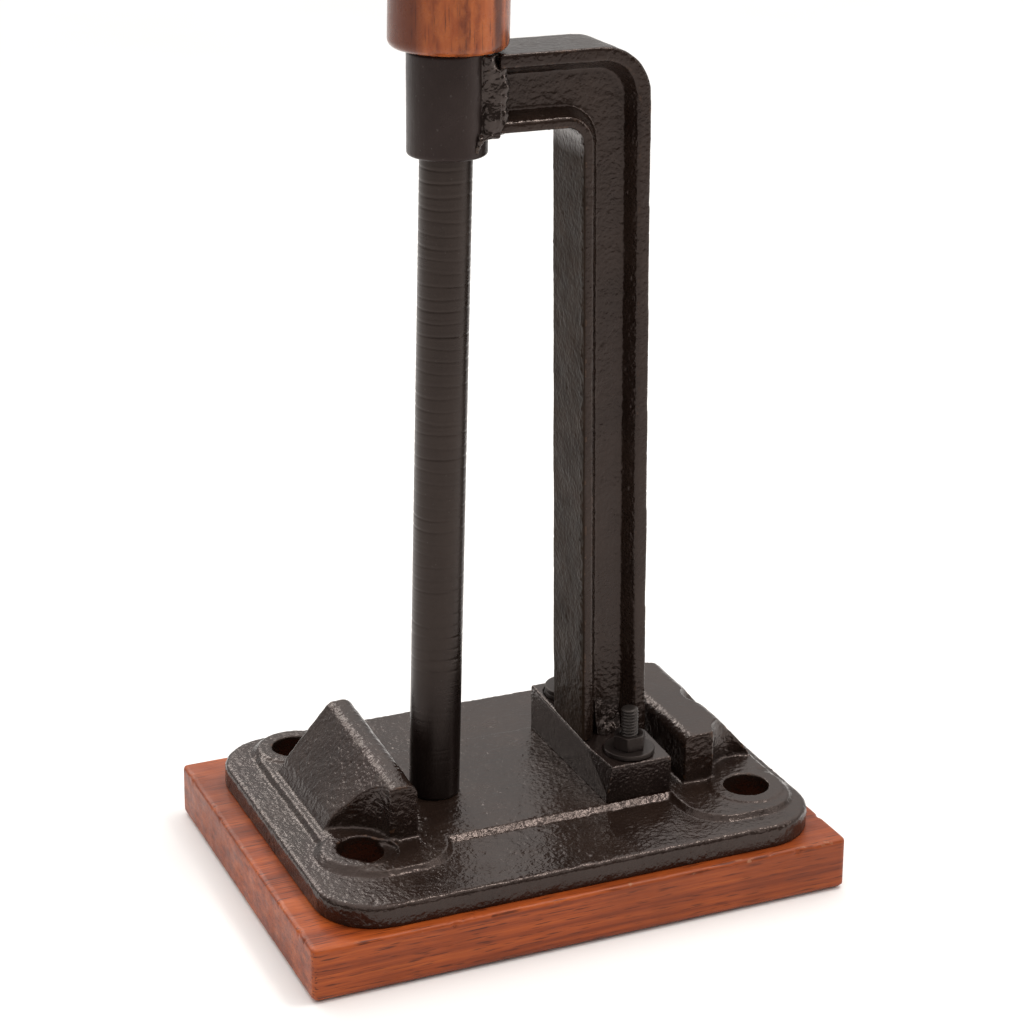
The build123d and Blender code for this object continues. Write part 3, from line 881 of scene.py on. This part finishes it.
# the front stud has one washer, the rear one two
BOLTS = [(FB0[0] + 1.0, FW0[1] + WR, FB1[2] - 4.0, FW0[2], 1), (0.0, FW1[1] - WR, FB1[2], FN1[2] - NH - 2 * WT, 2)]
BOLTS = [(FW1[0] - WR, *BOLTS[0][1:]), (FW0[0] + WR, *BOLTS[1][1:])]


def hex_r(th, af, turn=0.0):
    t = (th - turn) % (math.pi / 3) - math.pi / 6
    return (af / 2) / np.cos(t)


def stud(x, y, z_top, z_thread, seed):
    n = 48
    th = np.linspace(0, 2 * math.pi, n, endpoint=False)
    z_head0, z_head1 = FB0[2], FB0[2] + 6.4
    rows = []

    def row(r, z):
        rr = r if isinstance(r, np.ndarray) else np.full(n, float(r))
        zz = z if isinstance(z, np.ndarray) else np.full(n, float(z))
        rows.append(np.stack([x + rr * np.cos(th), y + rr * np.sin(th), zz], 1))
    cap = 17.0 / math.sqrt(3) - 0.9
    for k in range(5):
        dz = 0.9 * k / 4
        row(np.minimum(hex_r(th, 17.0), cap + dz), z_head0 + dz)
    for k in range(4, -1, -1):
        dz = 0.9 * k / 4
        row(np.minimum(hex_r(th, 17.0), cap + dz), z_head1 - dz)
    row(5.0, z_head1)
    row(4.98, z_head1 + 0.5)
    row(4.98, z_thread - 0.6)
    pitch, depth = 1.9, 1.0
    step = 0.15
    z = z_thread
    rs = np.random.RandomState(seed)
    while z < z_top - 0.05:
        ph = (z / pitch - th / (2 * math.pi)) % 1.0
        tri = np.abs(ph - 0.5) * 2
        cut = depth * np.clip(1.15 * tri - 0.1, 0, 1)
        lead = np.clip((z - z_thread) / 2.0, 0, 1)
        end = np.clip((z_top - z) / 0.9, 0, 1)
        r = 4.98 - cut * lead * end
        r = np.minimum(r, 4.98 - 0.8 * (1 - end))
        row(r, z)
        z += step
    row(4.05, z_top)
    top = rows[-1].copy()
    top[:, :2] = np.array([x, y]) + (top[:, :2] - np.array([x, y])) * 0.5
    rows.append(top)
    me = rings_mesh("stud", rows, False)
    return me


def nut(x, y, z0, z1, turn):
    n = 96
    th = np.linspace(0, 2 * math.pi, n, endpoint=False)
    rows = []

    def row(r, z):
        rr = r if isinstance(r, np.ndarray) else np.full(n, float(r))
        rows.append(np.stack([x + rr * np.cos(th), y + rr * np.sin(th), np.full(n, float(z))], 1))
    cap = 17.0 / math.sqrt(3) - 0.95
    for k in range(6):
        dz = 0.95 * k / 5
        row(np.minimum(hex_r(th, 16.96, turn), cap + dz * 1.05), z0 + dz * 0.7)
    for k in range(5, -1, -1):
        dz = 0.95 * k / 5
        row(np.minimum(hex_r(th, 16.96, turn), cap + dz * 1.05), z1 - dz * 0.7)
    row(cap - 0.8, z1 - 0.02)
    row(5.9, z1 - 0.05)
    row(5.1, z1 - 0.7)
    row(5.1, z0 + 0.7)
    row(5.9, z0 + 0.05)
    return rings_mesh("nut", rows, True)


def washer(x, y, z0, z1, ro, ri, n=80, er=0.5):
    prof = densify(fillets([(ri, z0), (ro, z0), (ro, z1), (ri, z1)], [0.25, er, er, 0.25], 4), 1.4, True)

    def disp(th, rr, zz):
        d = -0.02 + 0.05 * loop_noise(th, zz, 5.0, 163, ro)
        return np.where(rr > ri + 1, np.minimum(d, 0), 0), np.zeros_like(rr)
    return lathe("w", prof, x, y, n, True, disp)


studs, nuts, washers = [], [], []
for i, (x, y, top, zs, cnt) in enumerate(BOLTS):
    z = zs
    for _ in range(cnt):
        washers.append(washer(x, y, z, z + WT, 14.6, 5.5))
        z += WT
    nuts.append(nut(x, y, z, z + 8.4, 0.0))
    studs.append(stud(x, y, top, zs - 4.0, 171 + i))
me = join_meshes("studs", studs)
o_studs = piece("foot_studs", me, M_STUD, "stand", "stud_steel", "foot_bolts")
me = join_meshes("nuts", nuts)
attr(me, "wear", np.zeros(len(me.vertices)))
o_nuts = piece("foot_hex_nuts", me, M_NUT, "stand", "foot_iron", "foot_nuts")
me = join_meshes("washers", washers)
attr(me, "wear", np.zeros(len(me.vertices)))
o_wash = piece("foot_plate_washers", me, M_NUT, "stand", "foot_iron", "foot_flat_washers")

# the hidden fasteners stay as CAD nodes with a softened edge
for nm in ("foot_bolt_washers", "handle_washer", "handle_bolt"):
    o = frame["nodes"][nm]
    assign(o, M_ZINC)
    b = o.modifiers.new("bevel", "BEVEL")
    b.width = 0.25 * MM
    b.segments = 2
    b.limit_method = "ANGLE"

# -------------------------------------------------------------- the studio


def floor_material():
    m = Mat("studio_paper")
    c = m.ramp(m.noise(3.0, 4.0, 0.5), [(0.3, (0.90, 0.90, 0.90)), (0.7, (0.93, 0.93, 0.93))])
    return m.set(color=c, rough=m.span(m.noise(5.0, 2.0, 0.5), 0.3, 0.7, 0.85, 0.95), spec=0.1)


bm = bmesh.new()
bmesh.ops.create_grid(bm, x_segments=24, y_segments=24, size=6.0)
me = bpy.data.meshes.new("floor")
bm.to_mesh(me)
bm.free()
floor = link("floor", me)
floor.location.z = -0.0004
assign(floor, floor_material())

world = bpy.data.worlds.new("studio")
scene.world = world
world.use_nodes = True
wn = world.node_tree
wn.nodes.clear()
w_out = wn.nodes.new("ShaderNodeOutputWorld")
bg = wn.nodes.new("ShaderNodeBackground")
wn.links.new(bg.outputs[0], w_out.inputs["Surface"])
# a bright ceiling, a softer backdrop behind the object and a dim room on the near side
w_tc = wn.nodes.new("ShaderNodeTexCoord")


def glow(direction, lo, hi, amount):
    d = wn.nodes.new("ShaderNodeVectorMath")
    d.operation = "DOT_PRODUCT"
    wn.links.new(w_tc.outputs["Generated"], d.inputs[0])
    d.inputs[1].default_value = direction
    m = wn.nodes.new("ShaderNodeMapRange")
    m.interpolation_type = "SMOOTHSTEP"
    wn.links.new(d.outputs["Value"], m.inputs["Value"])
    for s_, x_ in zip(("From Min", "From Max", "To Min", "To Max"), (lo, hi, 0.0, amount)):
        m.inputs[s_].default_value = x_
    return m.outputs[0]


w_add = wn.nodes.new("ShaderNodeMath")
wn.links.new(glow((0.0, 0.0, 1.0), 0.25, 0.85, 1.22), w_add.inputs[0])
wn.links.new(glow((0.40, 0.90, 0.0), -0.2, 0.6, 0.45), w_add.inputs[1])
w_sum = wn.nodes.new("ShaderNodeMath")
wn.links.new(w_add.outputs[0], w_sum.inputs[0])
w_sum.inputs[1].default_value = 0.13
bg.inputs["Color"].default_value = (1.0, 0.975, 0.95, 1)
wn.links.new(w_sum.outputs[0], bg.inputs["Strength"])


def area(name, loc, target, size, power, color=(1, 1, 1)):
    ld = bpy.data.lights.new(name, "AREA")
    ld.shape = "RECTANGLE"
    ld.size, ld.size_y = size
    ld.energy = power
    ld.color = color
    o = bpy.data.objects.new(name, ld)
    scene.collection.objects.link(o)
    o.location = loc
    o.rotation_mode = "QUATERNION"
    o.rotation_quaternion = (Vector(target) - Vector(loc)).to_track_quat("-Z", "Y")
    return o


T = (0.0, 0.0, 0.25)
WARM = (1.0, 0.945, 0.885)
area("top_softbox", (0.66, -0.22, 1.85), T, (0.42, 0.34), 9.0, WARM)
area("back_softbox", (-0.30, 1.60, 1.15), T, (1.2, 0.30), 8.0, WARM)
area("left_softbox", (-2.0, 0.1, 1.5), T, (0.5, 0.8), 1.4, WARM)
area("right_softbox", (1.7, -1.0, 0.9), T, (0.30, 1.3), 6.0, WARM)

# ------------------------------------------------------------- the camera
cam_d = bpy.data.cameras.new("camera")
cam = bpy.data.objects.new("camera", cam_d)
scene.collection.objects.link(cam)
scene.camera = cam
# the rows are right, up and back
R = ((0.91705873, -0.39870077, 0.00640113), (0.11223328, 0.27348715, 0.95530543), (-0.38263164, -0.87535277, 0.29555128))
C = (-0.54851396, -1.25791547 - 0.00225, 0.73772738 - 0.001)
cam.matrix_world = Matrix(((R[0][0], R[1][0], R[2][0], C[0]), (R[0][1], R[1][1], R[2][1], C[1]),
                           (R[0][2], R[1][2], R[2][2], C[2]), (0, 0, 0, 1)))
cam_d.sensor_width = 36.0
cam_d.lens = 2609.54 / 1024 * 36.0
cam_d.shift_y = (340.98 - 512.0) / 1024.0
cam_d.clip_start, cam_d.clip_end = 0.05, 40.0

scene.view_settings.view_transform = "Standard"
scene.view_settings.look = "None"
scene.view_settings.exposure = 0.0
scene.view_settings.gamma = 1.0
